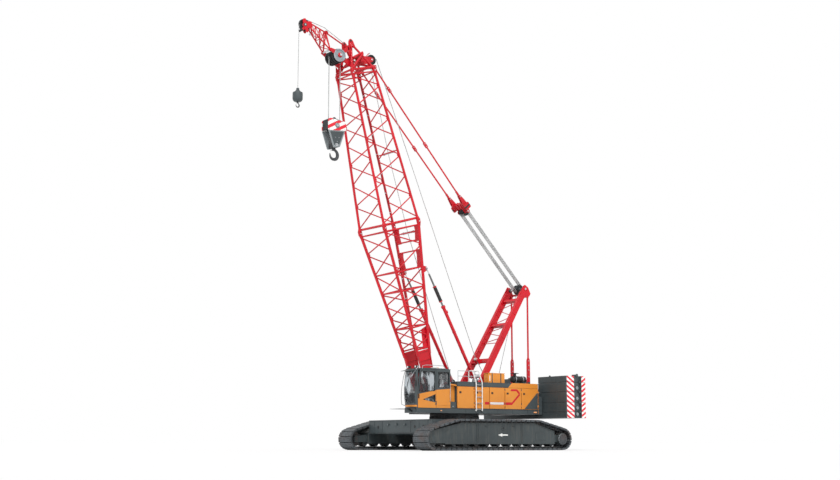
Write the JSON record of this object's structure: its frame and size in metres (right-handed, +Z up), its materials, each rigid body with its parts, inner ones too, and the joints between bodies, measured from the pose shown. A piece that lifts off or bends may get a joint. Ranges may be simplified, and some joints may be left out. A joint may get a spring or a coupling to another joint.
{
  "type": "crawler crane",
  "caption": "Crawler crane with a raised lattice boom, short fly jib, luffing mast, machinery house, cab and stacked counterweights.",
  "frame": {"origin": "on the ground under the slewing axis", "axes": "+Z up, -Y the way the crane faces, +X its left side, where the cab is"},
  "size_m": [7.518, 15.5394, 20.6167],
  "materials": {
    "red_paint": "satin",
    "orange_paint": "satin",
    "grey_paint": "satin",
    "dark_steel": "matt",
    "bare_steel": "satin",
    "glass": "clear",
    "seat_cloth": "woven"
  },
  "bodies": {
    "undercarriage": {"carbody": "grey_paint", "front_cross_beam": "grey_paint", "rear_cross_beam": "grey_paint", "slew_bearing": "dark_steel", "track_frame_left": "grey_paint", "track_frame_right": "grey_paint", "track_left": "dark_steel", "track_right": "dark_steel", "sprocket_left": "dark_steel", "sprocket_right": "dark_steel", "idler_left": "dark_steel", "idler_right": "dark_steel"},
    "superstructure": {"revolving_frame": "grey_paint", "house_left": "grey_paint", "house_right": "grey_paint", "left_fixed_panel": "orange_paint", "engine": "dark_steel", "cab": "grey_paint", "windscreen": "glass", "side_window": "glass", "operator_seat": "seat_cloth", "access_ladder": "bare_steel", "front_winch": "dark_steel", "rear_winch": "dark_steel", "hydraulic_tank": "orange_paint", "muffler": "dark_steel", "counterweight_base": "grey_paint", "counterweight_left": "grey_paint", "counterweight_right": "grey_paint", "mast": "red_paint", "backstay_left": "red_paint", "backstay_right": "red_paint"},
    "cab_door_leaf": {"cab_door": "orange_paint", "door_window": "glass"},
    "left_door_leaf_1": {"left_door_1": "orange_paint"},
    "left_door_leaf_2": {"left_door_2": "orange_paint"},
    "left_door_leaf_3": {"left_door_3": "orange_paint"},
    "left_door_leaf_4": {"left_door_4": "orange_paint"},
    "right_door_leaf_1": {"right_door_1": "orange_paint"},
    "right_door_leaf_2": {"right_door_2": "orange_paint"},
    "right_door_leaf_3": {"right_door_3": "orange_paint"},
    "boom": {"boom_foot_section": "red_paint", "boom_top_section": "red_paint", "boom_head": "red_paint", "jib": "red_paint"},
    "luff_sheaves": {"mast_sheaves": "dark_steel"},
    "bridle_frame": {"bridle": "red_paint", "pendant_left": "red_paint", "pendant_right": "red_paint"},
    "backstop_tubes": {"backstop_tube_left": "red_paint", "backstop_tube_right": "red_paint"},
    "backstop_rods": {"backstop_rod_left": "bare_steel", "backstop_rod_right": "bare_steel"},
    "main_fall": {"head_sheaves": "dark_steel"},
    "hook_block": {"main_block": "grey_paint"},
    "main_hook_swivel": {"main_hook": "dark_steel"},
    "aux_fall": {"jib_sheave": "dark_steel"},
    "aux_ball": {"aux_weight": "grey_paint"},
    "aux_hook_swivel": {"aux_hook": "dark_steel"}
  },
  "joints": [
    {"name": "slew", "type": "hinge", "parent": "undercarriage", "child": "superstructure", "pos_m": [0, 0, 1.784], "axis": [0, 0, 1], "continuous": true},
    {"name": "cab_door_swing", "type": "hinge", "parent": "superstructure", "child": "cab_door_leaf", "pos_m": [1.666, -2.363, 2.6], "axis": [0, 0, 1], "range_deg": [0, 150]},
    {"name": "left_door_1_swing", "type": "hinge", "parent": "superstructure", "child": "left_door_leaf_1", "pos_m": [1.666, -0.03, 2.6], "axis": [0, 0, 1], "range_deg": [0, 90]},
    {"name": "left_door_2_swing", "type": "hinge", "parent": "superstructure", "child": "left_door_leaf_2", "pos_m": [1.666, 1.945, 2.6], "axis": [0, 0, 1], "range_deg": [0, 90]},
    {"name": "left_door_3_swing", "type": "hinge", "parent": "superstructure", "child": "left_door_leaf_3", "pos_m": [1.666, 3.03, 2.6], "axis": [0, 0, 1], "range_deg": [0, 90]},
    {"name": "left_door_4_swing", "type": "hinge", "parent": "superstructure", "child": "left_door_leaf_4", "pos_m": [1.666, 4.166, 2.6], "axis": [0, 0, 1], "range_deg": [0, 90]},
    {"name": "right_door_1_swing", "type": "hinge", "parent": "superstructure", "child": "right_door_leaf_1", "pos_m": [-1.666, 0.9, 2.6], "axis": [0, 0, -1], "range_deg": [0, 90]},
    {"name": "right_door_2_swing", "type": "hinge", "parent": "superstructure", "child": "right_door_leaf_2", "pos_m": [-1.666, 2.5, 2.6], "axis": [0, 0, -1], "range_deg": [0, 90]},
    {"name": "right_door_3_swing", "type": "hinge", "parent": "superstructure", "child": "right_door_leaf_3", "pos_m": [-1.666, 4.166, 2.6], "axis": [0, 0, -1], "range_deg": [0, 90]},
    {"name": "boom_luff", "type": "hinge", "parent": "superstructure", "child": "boom", "pos_m": [0, -1.707, 2.457], "axis": [-1, 0, 0], "range_deg": [-44.7, 5.3]},
    {"name": "luff_sheaves_tilt", "type": "hinge", "parent": "superstructure", "child": "luff_sheaves", "pos_m": [0, 4.216, 8.352], "axis": [-1, 0, 0], "range_deg": [-38.6, 4.7]},
    {"name": "bridle_slide", "type": "slide", "parent": "luff_sheaves", "child": "bridle_frame", "axis": [0, -0.6772, 0.7358], "range_m": [-0.73, 6.1]},
    {"name": "backstop_tilt", "type": "hinge", "parent": "superstructure", "child": "backstop_tubes", "pos_m": [0, 0.608, 3.45], "axis": [-1, 0, 0], "range_deg": [-38.3, 4.6]},
    {"name": "backstop_slide", "type": "slide", "parent": "backstop_tubes", "child": "backstop_rods", "axis": [0, -0.4855, 0.8742], "range_m": [-0.21, 1.75]},
    {"name": "main_fall_tilt", "type": "hinge", "parent": "boom", "child": "main_fall", "pos_m": [0, -7.30772, 19.02638], "axis": [-1, 0, 0], "range_deg": [-5.4, 44.8]},
    {"name": "main_hoist", "type": "slide", "parent": "main_fall", "child": "hook_block", "axis": [0, 0, -1], "range_m": [-1.9, 12]},
    {"name": "main_hook_turn", "type": "hinge", "parent": "hook_block", "child": "main_hook_swivel", "pos_m": [0, -7.30772, 14.6], "axis": [0, 0, 1], "continuous": true},
    {"name": "aux_fall_tilt", "type": "hinge", "parent": "boom", "child": "aux_fall", "pos_m": [0, -9.07338, 20.32655], "axis": [-1, 0, 0], "range_deg": [-5.4, 44.8]},
    {"name": "aux_hoist", "type": "slide", "parent": "aux_fall", "child": "aux_ball", "axis": [0, 0, -1], "range_m": [-2.3, 14.5]},
    {"name": "aux_hook_turn", "type": "hinge", "parent": "aux_ball", "child": "aux_hook_swivel", "pos_m": [0, -9.37338, 16.5], "axis": [0, 0, 1], "continuous": true}
  ],
  "couplings": [
    {"joint": "luff_sheaves_tilt", "follows": "boom_luff", "ratio": 0.86103},
    {"joint": "bridle_slide", "follows": "boom_luff", "m_per_rad": -7.8015},
    {"joint": "backstop_tilt", "follows": "boom_luff", "ratio": 0.85376},
    {"joint": "backstop_slide", "follows": "boom_luff", "m_per_rad": -2.2307},
    {"joint": "main_fall_tilt", "follows": "boom_luff", "ratio": -1},
    {"joint": "aux_fall_tilt", "follows": "boom_luff", "ratio": -1}
  ]
}
